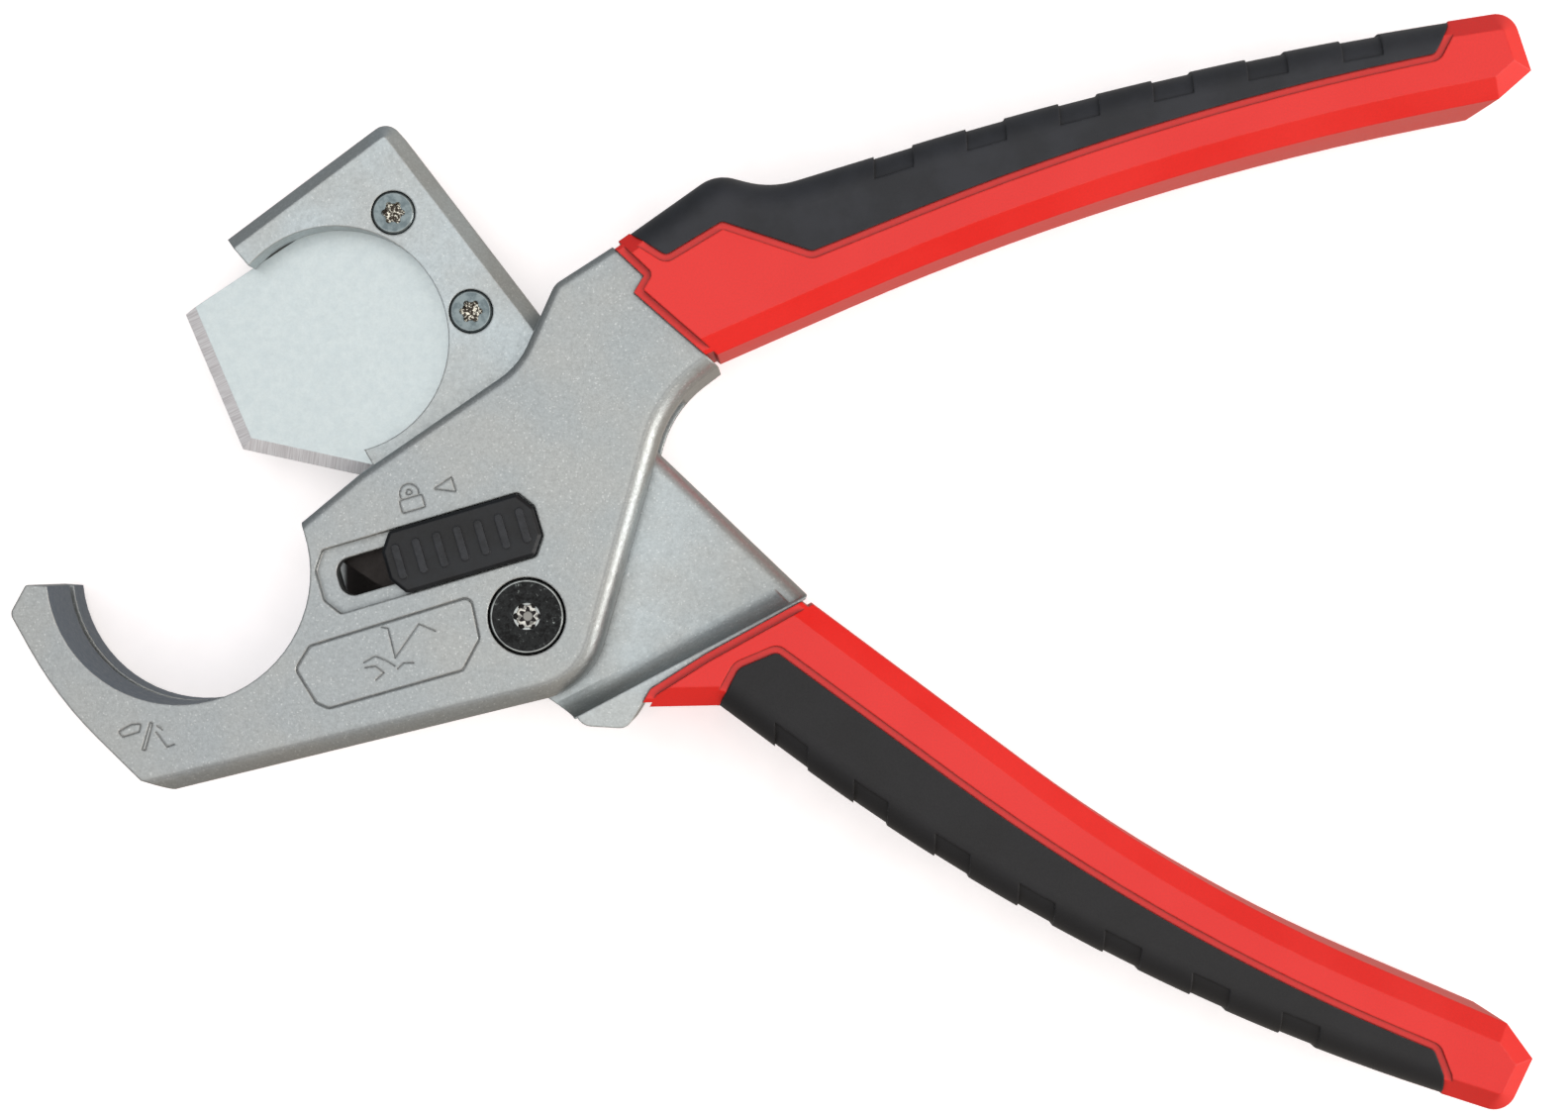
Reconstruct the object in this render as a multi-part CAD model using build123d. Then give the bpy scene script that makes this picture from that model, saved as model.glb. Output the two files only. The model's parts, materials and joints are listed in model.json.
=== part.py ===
from build123d import *
import os
from math import acos, atan2, cos, degrees, hypot, radians, sin

# Plastic pipe cutter lying on its back, with its blade arm open.
# Every outline is drawn about the pivot axis, and each finished piece is then moved so that
# the origin is the middle of the tool's underside. Sizes are millimetres, angles are degrees.

# ---- where the pivot axis stands, measured from the middle of the tool ----
PIVOT_X = -37.256
PIVOT_Y = -8.281

# ---- thickness levels, from the resting face up ----
GRIP_BACK, GRIP_FRONT = 0.0, 24.0
FRAME_BACK, FRAME_FRONT = 2.5, 21.5
ARM_SLOT_BACK, ARM_SLOT_FRONT = 5.2, 15.1
ARM_BACK, ARM_FRONT = 5.4, 14.9
BLADE_BACK, BLADE_FRONT = 7.8, 9.6
HOOK_SLOT_BACK, HOOK_SLOT_FRONT = 7.5, 9.9
TANG_BACK, TANG_FRONT = 6.5, 17.5
CLEAR_TOP = 30.0  # cutters that open to the front run up to this level

# ---- motion ----
CLOSING_ANGLE = 47.0
LOCK_TRAVEL = 10.0
STOP_GAP = 0.3

# ---- pipe seat in the hook ----
SEAT_X, SEAT_Y = -52.8, 6.6
SEAT_RADIUS = 20.0

# ---- blade arm ----
CUTOUT_X, CUTOUT_Y = -30.3, 42.5
CUTOUT_RADIUS = 17.56
HUB_RADIUS = 9.3
ARM_HEEL = [(-29.5, 8.5), (-29.0, 11.5), (-22.9, 20.6)]
RAMP_RADIUS = 3.8
BLADE_SCREWS = [(-21.3, 62.1), (-9.3, 46.9)]
SCREW_HEAD_RADIUS = 3.28
SCREW_HEAD_BACK, SCREW_HEAD_FRONT = 12.9, 15.0
SCREW_SHANK_RADIUS = 1.5
SCREW_SHANK_BACK = 6.2
BLADE_CORNER = (-54.8, 47.0)
BLADE_TIP = (-45.8, 25.9)
BLADE_HEEL = (-22.0, 20.7)
BLADE_OUTLINE = [BLADE_CORNER, BLADE_TIP, BLADE_HEEL, (-3.0, 41.2), (-18.6, 64.6), (-22.6, 68.4)]
GRIND_WIDTH, GRIND_HEIGHT = 2.0, 0.8

# ---- engraved symbols ----
ENGRAVING_WIDTH = 0.2
ENGRAVING_DEPTH = 0.15
PANEL_GROOVE_WIDTH = 0.28
PANEL_GROOVE_DEPTH = 0.25

# ---- rounded and bevelled casting edges ----
BOTTOM_ROUND = 3.2
THROAT_ROUND = 1.5
BACK_ROUND = 1.2
HEAD_BEVEL = 2.1
STUB_ROUND = 2.8

# ---- pivot ----
PIVOT_HEAD_RADIUS = 5.78
PIVOT_HEAD_BACK, PIVOT_HEAD_FRONT = 18.9, 21.4
NUT_HEAD_RADIUS = 6.2
NUT_HEAD_HEIGHT = 1.2
SLEEVE_RADIUS = 4.0
SCREW_CORE_RADIUS = 3.0
SCREW_CORE_BACK = 4.0
BUSH_RADIUS = 5.4
RUNNING_GAP = 0.04
SPRING_RADIUS = 6.6
SPRING_WIRE = 1.1
SPRING_PITCH = 1.2
SPRING_HEIGHT = 3.3
SPRING_BACK = 10.2
SPRING_START_ANGLE = 0.0
SPRING_END_ANGLE = 360 * SPRING_HEIGHT / SPRING_PITCH
SPRING_POCKET_RADIUS = 7.6
SPRING_POCKET_BACK = 9.5
WASHER_RADIUS = 7.9
FRONT_WASHER_BACK = 14.2
REAR_WASHER_FRONT = 6.15
WAVE_WASHER_FRONT = 5.55

# ---- lock slide ----
LOCK_ANGLE = 16.4
LOCK_OFFSET = 13.35
RECESS_LEFT, RECESS_RIGHT = -28.9, 5.9
RECESS_HALF = 5.1
FACET_ALONG, FACET_ACROSS = 1.9, 2.7
RECESS_FLOOR = 20.1
LOCK_SLOT_LEFT, LOCK_SLOT_RIGHT = -26.1, 3.4
LOCK_SLOT_HALF = 2.95
CHANNEL_BACK = 15.0
CHANNEL_FRONT = 17.1
BUTTON_LEFT, BUTTON_RIGHT = -18.2, 5.7
BUTTON_HALF = 4.9
BUTTON_FRONT = 22.6
RIB_COUNT = 7
RIB_PITCH = 3.25
RIB_HEIGHT = 0.6
LOCK_PIN_RADIUS = 2.25
LOCK_PIN_T = -4.0
LOCK_PIN_BACK = 10.2
PLATE_BACK, PLATE_FRONT = 15.4, 16.9
PLATE_HALF = 4.5
RIVET_TS = [-13.0, 0.5]
RIVET_RADIUS = 1.2
RIVET_HEAD_RADIUS = 2.2
RIVET_HEAD_HEIGHT = 0.6
RIVET_FRONT = 20.5

# ---- grips ----
GRIP_BEVEL = 3.0
PAD_THICKNESS = 3.0
PAD_ROUND = 4.5
JOINT_STEP = 1.7
STEP_WIDTH = 1.2
STEP_DEPTH = 0.5
WINDOW_LENGTH = 6.2
WINDOW_REACH = 4.0
WINDOW_DEPTH = 0.3


# ---------------------------------------------------------------- helpers
def face_of(corners):
    """Flat face from (x, y, corner radius) points in order."""
    points = [(x, y) for x, y, _ in corners]
    radii = [r for _, _, r in corners]
    return make_face(FilletPolyline(*points, radius=radii, close=True))


def sharp(points, radius=0.0):
    """Flat face from (x, y) points that share one corner radius."""
    return face_of([(x, y, radius) for x, y in points])


def prism(face, low, high):
    """Straight body on a flat outline between two levels."""
    return extrude(Pos(0, 0, low) * face, amount=high - low, dir=(0, 0, 1))


def disc(x, y, radius, low, high):
    """Round body about a vertical axis."""
    return prism(Pos(x, y) * Circle(radius), low, high)


def ring(outer, inner, low, high):
    """Washer or tube about the pivot axis."""
    return disc(0, 0, outer, low, high) - disc(0, 0, inner, low - 1, high + 1)


def turned(point, angle):
    """A plan point after a turn about the pivot axis."""
    x, y = point
    c, s = cos(radians(angle)), sin(radians(angle))
    return (x * c - y * s, x * s + y * c)


def shifted(start, end, distance):
    """The line start-end moved sideways, to the left of its direction for a positive distance."""
    dx, dy = end[0] - start[0], end[1] - start[1]
    length = hypot(dx, dy)
    ox, oy = -dy / length * distance, dx / length * distance
    return (start[0] + ox, start[1] + oy), (end[0] + ox, end[1] + oy)


def crossing(line_a, line_b):
    """Where two lines, each given by two points, cross."""
    (x1, y1), (x2, y2) = line_a
    (x3, y3), (x4, y4) = line_b
    den = (x1 - x2) * (y3 - y4) - (y1 - y2) * (x3 - x4)
    a = x1 * y2 - y1 * x2
    b = x3 * y4 - y3 * x4
    return ((a * (x3 - x4) - (x1 - x2) * b) / den, (a * (y3 - y4) - (y1 - y2) * b) / den)


def in_lock_frame(shape):
    """Places a shape drawn along the lock's slot: X along the slot, Y across it."""
    foot_x = -LOCK_OFFSET * sin(radians(LOCK_ANGLE))
    foot_y = LOCK_OFFSET * cos(radians(LOCK_ANGLE))
    return Pos(foot_x, foot_y) * Rot(0, 0, LOCK_ANGLE) * shape


def lock_point(t):
    """Plan point on the lock's centre line at a distance t along it."""
    c, s = cos(radians(LOCK_ANGLE)), sin(radians(LOCK_ANGLE))
    return (-LOCK_OFFSET * s + t * c, LOCK_OFFSET * c + t * s)


def bar(left, right, half, corner):
    """Flat strip along X with rounded corners."""
    points = [(left, -half), (right, -half), (right, half), (left, half)]
    return sharp(points, corner)


def faceted_bar(left, right, half, corner):
    """Flat strip along X whose four corners are cut off, then slightly rounded."""
    points = [
        (left + FACET_ALONG, -half),
        (right - FACET_ALONG, -half),
        (right, -half + FACET_ACROSS),
        (right, half - FACET_ACROSS),
        (right - FACET_ALONG, half),
        (left + FACET_ALONG, half),
        (left, half - FACET_ACROSS),
        (left, -half + FACET_ACROSS),
    ]
    return sharp(points, corner)


def star_socket(radius, low, high):
    """Six-lobed driver socket."""
    socket = disc(0, 0, radius * 0.78, low, high)
    reach = radius * 0.76
    for i in range(6):
        angle = radians(60 * i)
        socket += disc(reach * cos(angle), reach * sin(angle), radius * 0.24, low, high)
    return socket


def edges_near(part, level, points, reach):
    """Edges at one level whose middle lies within reach of any of the plan points."""
    found = []
    for edge in part.edges():
        box = edge.bounding_box()
        if abs(box.min.Z - level) > 0.01 or abs(box.max.Z - level) > 0.01:
            continue
        middle = edge.position_at(0.5)
        if any(hypot(middle.X - x, middle.Y - y) < reach for x, y in points):
            found.append(edge)
    return found


def edge_round(start, end, level, radius):
    """Cutter that rounds the front edge above the plan line start-end; the body is on its right."""
    dx, dy = end[0] - start[0], end[1] - start[1]
    length = hypot(dx, dy)
    along = (dx / length, dy / length, 0)
    inward = (dy / length, -dx / length, 0)
    foot, top = level - radius, level + 1
    arc = RadiusArc((0, foot), (radius, level), radius)
    sides = Polyline((radius, level), (radius, top), (-1, top), (-1, foot), (0, foot))
    section = make_face(arc + sides)
    across = Vector(*inward)
    plane = Plane(origin=(start[0], start[1], 0), x_dir=across, z_dir=across.cross(Vector(0, 0, 1)))
    return extrude(plane * section, amount=length + 12, dir=along)


# ---------------------------------------------------------------- shared outlines
UPPER_JOINT = [(12.9, 56.1), (17.8, 51.5), (16.3, 49.0), (29.0, 38.0)]
LOWER_JOINT = [(42.3, 2.6), (27.0, -5.8), (18.8, -11.0), (16.7, -14.6)]

ARM_RIGHT_EDGE = [(-20.5, 75.7), (1.3, 46.1), (9.3, 34.9), (19.1, 25.4), (42.5, 3.2)]
CUTOUT_END = (-25.76, 25.54)


def hub_tangent(point, radius):
    """Where the line from a plan point touches a circle about the pivot, on its far-left side."""
    angle = atan2(point[1], point[0]) + acos(radius / hypot(*point))
    return (radius * cos(angle), radius * sin(angle))


def frame_outline():
    """Front view of the hook frame up to the joint with its grip; the pipe seat is cut later."""
    corners = [
        (-78.3, 0.4, 1.5),
        (-75.9, 4.8, 0.6),
        (-69.0, 4.3, 0),
        (-38.0, 11.2, 0),
        (-25.5, 21.6, 12),
        (-1.44, 38.1, 12),
        (4.12, 50.46, 3),
    ]
    corners += [(x, y, 0) for x, y in UPPER_JOINT]
    corners += [
        (21.54, 32.4, 18),
        (9.43, -10.96, 12),
        (-53.9, -26.45, 0),
        (-58.5, -24.9, 0),
        (-71.2, -12.36, 60),
    ]
    return face_of(corners)


def upper_tang_outline():
    """Tongue of the frame inside the upper grip."""
    inner = [(24.0, 46.0), (45.0, 52.4), (64.0, 60.2), (84.0, 67.6), (104.0, 73.6), (126.0, 79.0)]
    outer = [(124.8, 83.3), (103.0, 78.8), (82.0, 72.9), (62.0, 65.9), (44.0, 60.0), (22.0, 57.4)]
    corners = [(12.0, 44.0, 0)]
    corners += [(x, y, 6) for x, y in inner[:-1]]
    corners += [(*inner[-1], 2), (*outer[0], 2)]
    corners += [(x, y, 6) for x, y in outer[1:]]
    corners.append((10.0, 51.0, 0))
    return face_of(corners)


def lower_tang_outline():
    """Tongue of the blade arm inside the lower grip."""
    inner = [(42.0, -4.5), (62.0, -18.8), (84.0, -34.4), (104.0, -46.6), (126.0, -57.2)]
    outer = [(123.6, -63.0), (101.0, -52.6), (80.0, -40.2), (58.0, -25.4), (40.0, -12.6)]
    corners = [(38.0, 0.55, 0)]
    corners += [(x, y, 6) for x, y in inner[:-1]]
    corners += [(*inner[-1], 2), (*outer[0], 2)]
    corners += [(x, y, 6) for x, y in outer[1:]]
    corners.append((24.0, -7.1, 0))
    return face_of(corners)


# ---------------------------------------------------------------- frame casting
def heel_space():
    """Plan region that the heel of the arm sweeps inside the frame."""
    heel_edge = (ARM_HEEL[0], hub_tangent(ARM_HEEL[0], HUB_RADIUS))
    closed_heel = shifted(*(turned(p, CLOSING_ANGLE) for p in heel_edge), -STOP_GAP)
    far_left = crossing(closed_heel, ((-45.0, -10.0), (-45.0, 10.0)))
    reach = max(hypot(x, y) for x, y in ARM_HEEL) + STOP_GAP
    return sharp([closed_heel[1], far_left, (-45.0, 0.0), (0.0, 0.0)]) & Circle(reach)


def arm_space():
    """Plan region that the blade arm sweeps between open and closed, with its stop gaps."""
    left_edge = (CUTOUT_END, hub_tangent(CUTOUT_END, HUB_RADIUS))
    closed_left = tuple(turned(p, CLOSING_ANGLE) for p in left_edge)
    closed_left = shifted(*closed_left, -STOP_GAP)
    far_left = crossing(closed_left, ((-45.0, -10.0), (-45.0, 10.0)))
    closed_edge = [turned(p, CLOSING_ANGLE) for p in ARM_RIGHT_EDGE]
    closed_top = shifted(closed_edge[3], closed_edge[4], STOP_GAP)
    open_edge = shifted(ARM_RIGHT_EDGE[1], ARM_RIGHT_EDGE[2], STOP_GAP)
    # the corner where the open and the closed edge meet is cut off, clear of both
    corner = crossing(open_edge, closed_top)
    above = (corner[0] - 1.6, corner[1] + 2.08)
    beside = (corner[0] + 2.4, corner[1] + 0.17)
    top_left = crossing(open_edge, ((-40.0, 60.0), (40.0, 60.0)))
    far_right = crossing(closed_top, ((50.0, 0.0), (50.0, 60.0)))
    points = [
        closed_left[1],
        far_left,
        (-45.0, 60.0),
        top_left,
        above,
        beside,
        far_right,
        (50.0, -40.0),
        (8.0, -40.0),
        (1.4, -13.4),
    ]
    return sharp(points) + heel_space() + Circle(HUB_RADIUS + STOP_GAP + 0.05)


def blade_space():
    """Plan region that the blade sweeps through the hook."""
    corner, tip, heel = [turned(p, CLOSING_ANGLE) for p in (BLADE_CORNER, BLADE_TIP, BLADE_HEEL)]
    side = shifted(tip, corner, STOP_GAP)
    bottom = shifted(heel, tip, STOP_GAP)
    reach = hypot(*corner) + STOP_GAP
    points = [
        crossing(side, bottom),
        crossing(side, ((-90.0, side[1][1] + 3.0), (0.0, side[1][1] + 3.0))),
        (-90.0, 30.0),
        (-20.0, 30.0),
        bottom[0],
    ]
    swept = sharp(points) & Circle(reach)
    return swept + Pos(SEAT_X, SEAT_Y) * Circle(SEAT_RADIUS + 1.4)


def lock_cuts():
    """Recess, slot, plate channel and detent pocket in the front cheek."""
    recess = prism(faceted_bar(RECESS_LEFT, RECESS_RIGHT, RECESS_HALF, 0.8), RECESS_FLOOR, CLEAR_TOP)
    slot = prism(bar(LOCK_SLOT_LEFT, LOCK_SLOT_RIGHT, LOCK_SLOT_HALF, 2.3), CHANNEL_BACK, CLEAR_TOP)
    channel_left = RIVET_TS[0] - 3.2 - LOCK_TRAVEL
    channel = prism(bar(channel_left, 5.0, PLATE_HALF + 0.2, 1.0), CHANNEL_BACK, CHANNEL_FRONT)
    pocket = prism(bar(-10.2, 0.2, 1.45, 0.5), CHANNEL_BACK, CHANNEL_FRONT)
    pocket = Pos(0, PLATE_HALF + 1.0) * pocket
    return in_lock_frame(recess + slot + channel + pocket)


def panel_groove():
    """Groove round the plain panel beside the pivot."""
    points = [
        (-35.2, -8.0),
        (-32.0, -13.2),
        (-30.0, -14.1),
        (-9.6, -8.3),
        (-7.0, -3.4),
        (-8.4, 3.2),
        (-33.0, -4.4),
    ]
    outer = sharp(points, 1.3)
    inner = offset(outer, amount=-PANEL_GROOVE_WIDTH)
    return prism(outer, FRAME_FRONT - PANEL_GROOVE_DEPTH, CLEAR_TOP) - prism(inner, 0, CLEAR_TOP + 1)


def engraved_loop(points, corner=0.0):
    """Groove along a closed outline in the frame's front face."""
    outline = sharp(points, corner)
    half = ENGRAVING_WIDTH / 2
    inner = prism(offset(outline, amount=-half), 0, CLEAR_TOP + 1)
    return prism(offset(outline, amount=half), FRAME_FRONT - ENGRAVING_DEPTH, CLEAR_TOP) - inner


def engraved_line(*points):
    """Groove along an open line in the frame's front face."""
    stroke = make_face(offset(Polyline(*points), amount=ENGRAVING_WIDTH / 2))
    return prism(stroke, FRAME_FRONT - ENGRAVING_DEPTH, CLEAR_TOP)


def engraved_arc(start, middle, end):
    """Groove along an arc in the frame's front face."""
    arc = ThreePointArc(start, middle, end)
    stroke = make_face(offset(arc, amount=ENGRAVING_WIDTH / 2))
    return prism(stroke, FRAME_FRONT - ENGRAVING_DEPTH, CLEAR_TOP)


def lock_symbols():
    """Plain padlock and arrow head that show which way the button locks."""
    padlock = [
        engraved_loop([(-1.8, -1.9), (1.8, -1.9), (1.8, 0.1), (-1.8, 0.1)], 0.3),
        engraved_arc((-1.4, 0.4), (0.0, 2.2), (1.4, 0.4)),
        engraved_loop([(-0.8, 0.6), (0.8, 0.6), (0.0, 1.5)], 0.3),
    ]
    place = Pos(-17.6, 17.9) * Rot(0, 0, LOCK_ANGLE)
    arrow = engraved_loop([(-14.1, 19.3), (-11.4, 21.1), (-10.7, 18.9)], 0.1)
    return [place * groove for groove in padlock] + [arrow]


def hook_symbol():
    """Plain pictogram of a cut pipe on the hook."""
    place = Pos(-57.9, -17.6)
    grooves = [
        engraved_loop([(-4.0, 0.1), (-2.0, 1.2), (-0.6, 1.3), (-0.8, 0.1), (-3.3, -0.7)], 0.2),
        engraved_loop([(0.8, 1.5), (-0.4, -2.6), (0.1, -2.7), (1.2, 1.4)], 0.1),
        engraved_line((1.9, 1.0), (2.7, 0.4)),
        engraved_line((1.7, 0.1), (3.4, -2.2), (4.5, -1.8)),
    ]
    return [place * groove for groove in grooves]


def panel_symbol():
    """Plain pictogram of an open cutter in the panel."""
    place = Pos(-20.2, -5.4) * Rot(0, 0, 5)
    grooves = [
        engraved_line((-1.5, 3.9), (-0.5, 3.6), (0.2, -0.9)),
        engraved_line((0.2, -0.9), (4.2, 3.9), (6.6, 2.6)),
        engraved_line((-4.6, -1.2), (-2.8, -0.4), (-1.2, -1.2), (0.0, -2.1)),
        engraved_line((-4.5, -2.0), (-2.9, -1.9), (-1.7, -3.0), (-3.0, -4.0)),
        engraved_line((0.4, -2.6), (1.4, -1.8), (2.9, -1.9)),
    ]
    return [place * groove for groove in grooves]


def frame_casting():
    body = prism(frame_outline(), FRAME_BACK, FRAME_FRONT)
    body -= disc(SEAT_X, SEAT_Y, SEAT_RADIUS, 0, CLEAR_TOP)
    bottom_and_rear = [(-25.0, -19.4), (15.0, 9.0)]
    throat = [(-14.0, 29.5)]
    body = fillet(edges_near(body, FRAME_FRONT, bottom_and_rear, 6), BOTTOM_ROUND)
    body = fillet(edges_near(body, FRAME_FRONT, throat, 6), THROAT_ROUND)
    body = fillet(edges_near(body, FRAME_BACK, bottom_and_rear, 6), BACK_ROUND)
    body += prism(upper_tang_outline(), TANG_BACK, TANG_FRONT)
    body -= prism(arm_space(), ARM_SLOT_BACK, ARM_SLOT_FRONT)
    body -= prism(blade_space(), HOOK_SLOT_BACK, HOOK_SLOT_FRONT)
    body -= lock_cuts()
    body -= panel_groove()
    for groove in lock_symbols() + hook_symbol() + panel_symbol():
        body -= groove
    body -= disc(0, 0, PIVOT_HEAD_RADIUS + 0.19, PIVOT_HEAD_BACK, CLEAR_TOP)
    body -= disc(0, 0, SLEEVE_RADIUS, 0, CLEAR_TOP)
    body -= disc(0, 0, NUT_HEAD_RADIUS + 0.1, 0, FRAME_BACK + NUT_HEAD_HEIGHT)
    body -= disc(*spring_tail(SPRING_END_ANGLE), SPRING_WIRE / 2 + 0.1, CHANNEL_BACK, 17.6)
    return body


# ---------------------------------------------------------------- pivot
def spring_tail(angle):
    """Plan point of a spring tail at an angle round the coil."""
    return (SPRING_RADIUS * cos(radians(angle)), SPRING_RADIUS * sin(radians(angle)))


def screw_head(radius, low, high, bevel):
    """Flat round head with a bevelled rim."""
    head = disc(0, 0, radius, low, high)
    return chamfer(edges_near(head, high, [(radius, 0), (-radius, 0)], radius), length=bevel)


def pivot_screw():
    head = screw_head(PIVOT_HEAD_RADIUS, PIVOT_HEAD_BACK, PIVOT_HEAD_FRONT, 0.35)
    shank = disc(0, 0, SCREW_CORE_RADIUS, SCREW_CORE_BACK, PIVOT_HEAD_BACK + 0.1)
    return head + shank - star_socket(2.1, PIVOT_HEAD_FRONT - 1.5, PIVOT_HEAD_FRONT + 1)


def pivot_sleeve_nut():
    """Slotted nut whose long sleeve is the pivot that the arm turns on."""
    nut = disc(0, 0, NUT_HEAD_RADIUS, FRAME_BACK, FRAME_BACK + NUT_HEAD_HEIGHT)
    nut += disc(0, 0, SLEEVE_RADIUS, FRAME_BACK, PIVOT_HEAD_BACK)
    nut -= disc(0, 0, SCREW_CORE_RADIUS, SCREW_CORE_BACK, CLEAR_TOP)
    driver_slot = Pos(0, 0, FRAME_BACK) * Box(8.0, 1.2, 1.2)
    return nut - driver_slot


def arm_bush():
    low, high = REAR_WASHER_FRONT + 0.05, FRONT_WASHER_BACK - 0.05
    return ring(BUSH_RADIUS, SLEEVE_RADIUS + RUNNING_GAP, low, high)


def front_washer():
    washer = ring(WASHER_RADIUS, SLEEVE_RADIUS, FRONT_WASHER_BACK, ARM_SLOT_FRONT)
    return washer - disc(*spring_tail(SPRING_END_ANGLE), SPRING_WIRE / 2 + 0.1, 0, CLEAR_TOP)


def rear_washer():
    return ring(WASHER_RADIUS - 0.5, SLEEVE_RADIUS, WAVE_WASHER_FRONT, REAR_WASHER_FRONT)


def wave_washer():
    """Spring washer, drawn flat as it is when the pivot is tightened."""
    return ring(WASHER_RADIUS - 1.2, SLEEVE_RADIUS, ARM_SLOT_BACK, WAVE_WASHER_FRONT)


def return_spring():
    """Torsion spring round the bush, one tail down into the arm and one up into the frame."""
    path = Helix(pitch=SPRING_PITCH, height=SPRING_HEIGHT, radius=SPRING_RADIUS)
    section = Plane(origin=path @ 0, z_dir=path % 0) * Circle(SPRING_WIRE / 2)
    coil = Pos(0, 0, SPRING_BACK) * sweep(section, path=path)
    start = disc(*spring_tail(SPRING_START_ANGLE), SPRING_WIRE / 2, 7.6, SPRING_BACK)
    end = disc(*spring_tail(SPRING_END_ANGLE), SPRING_WIRE / 2, SPRING_BACK + SPRING_HEIGHT, 17.0)
    return coil + start + end


# ---------------------------------------------------------------- blade arm
def arm_plate_outline():
    """Arm head, waist, hub and stub in plan, without the cut-out."""
    tangent = hub_tangent(ARM_HEEL[0], HUB_RADIUS)
    corners = [
        (-47.3, 58.2, 0),
        (-22.3, 76.9, 2.6),
        (*ARM_RIGHT_EDGE[1], 0),
        (9.3, 34.9, 0),
        (42.5, 3.2, 0),
        (42.3, 2.6, 0),
        (27.0, -5.8, 0),
        (18.8, -11.0, 0),
        (16.7, -14.6, 0),
        (15.2, -17.0, 2),
        (8.4, -16.6, 3),
        (2.4, -12.6, 6),
        (-2.4, -8.98, 0),
        (0, 0, 0),
        (*tangent, 0),
        *[(x, y, 0) for x, y in ARM_HEEL],
        (*CUTOUT_END, 0),
        (CUTOUT_X, CUTOUT_Y, 0),
        (-43.63, 53.93, 0),
    ]
    return face_of(corners)


def pin_track():
    """Blind track in the arm for the lock pin: an arc with a straight branch at each end."""
    x, y = lock_point(LOCK_PIN_T)
    radius = hypot(x, y)
    angle = degrees(atan2(y, x))
    width = LOCK_PIN_RADIUS + 0.3
    low, high = LOCK_PIN_BACK - 0.2, ARM_FRONT + 1
    arc = Circle(radius + width) - Circle(radius - width)
    wedge = [(0, 0)]
    for step in range(5):
        a = radians(angle - CLOSING_ANGLE * step / 4)
        wedge.append((40 * cos(a), 40 * sin(a)))
    track = prism(arc & sharp(wedge), low, high)
    branch_outline = bar(LOCK_PIN_T - LOCK_TRAVEL - width, LOCK_PIN_T + width, width, width * 0.99)
    branch = prism(branch_outline, low, high)
    for turn in (0.0, -CLOSING_ANGLE):
        track += Rot(0, 0, turn) * in_lock_frame(branch)
    return track


def rim_outline():
    """Full-thickness shoulder between the arm's stub and the lower grip."""
    corners = [
        (42.5, 3.2, 0),
        (42.3, 2.6, 0),
        (27.0, -5.8, 0),
        (18.8, -11.0, 0),
        (16.7, -14.6, 0),
        (15.2, -17.0, 2),
        (8.4, -16.6, 2.5),
        (7.6, -15.2, 0),
    ]
    return face_of(corners)


def rim_ramp():
    """Concave ramp from the stub's face up towards the shoulder's front."""
    start, end = (4.2, -17.0), (41.0, 2.4)
    dx, dy = end[0] - start[0], end[1] - start[1]
    length = hypot(dx, dy)
    # the foot stands a little below the stub's face and the top runs into the shoulder, so the
    # three bodies join in one
    foot = ARM_FRONT - 0.04
    top = foot + RAMP_RADIUS
    root = foot - 2
    middle = RAMP_RADIUS * (1 - sin(radians(45)))
    arc = ThreePointArc((-RAMP_RADIUS, foot), (-middle, foot + middle), (0, top))
    sides = Polyline((0, top), (0.3, top), (0.3, root), (-RAMP_RADIUS, root), (-RAMP_RADIUS, foot))
    section = make_face(arc + sides)
    across = Vector(dy / length, -dx / length, 0)
    plane = Plane(origin=(start[0], start[1], 0), x_dir=across, z_dir=across.cross(Vector(0, 0, 1)))
    return extrude(plane * section, amount=length, dir=(dx / length, dy / length, 0))


def edge_strip():
    """Space above the stub's rounded edge, which the ramp stays clear of."""
    inner = shifted(ARM_RIGHT_EDGE[2], ARM_RIGHT_EDGE[4], -STUB_ROUND)
    outer = shifted(ARM_RIGHT_EDGE[2], ARM_RIGHT_EDGE[4], STUB_ROUND)
    return prism(sharp([inner[0], inner[1], outer[1], outer[0]]), 0, CLEAR_TOP)


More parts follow.
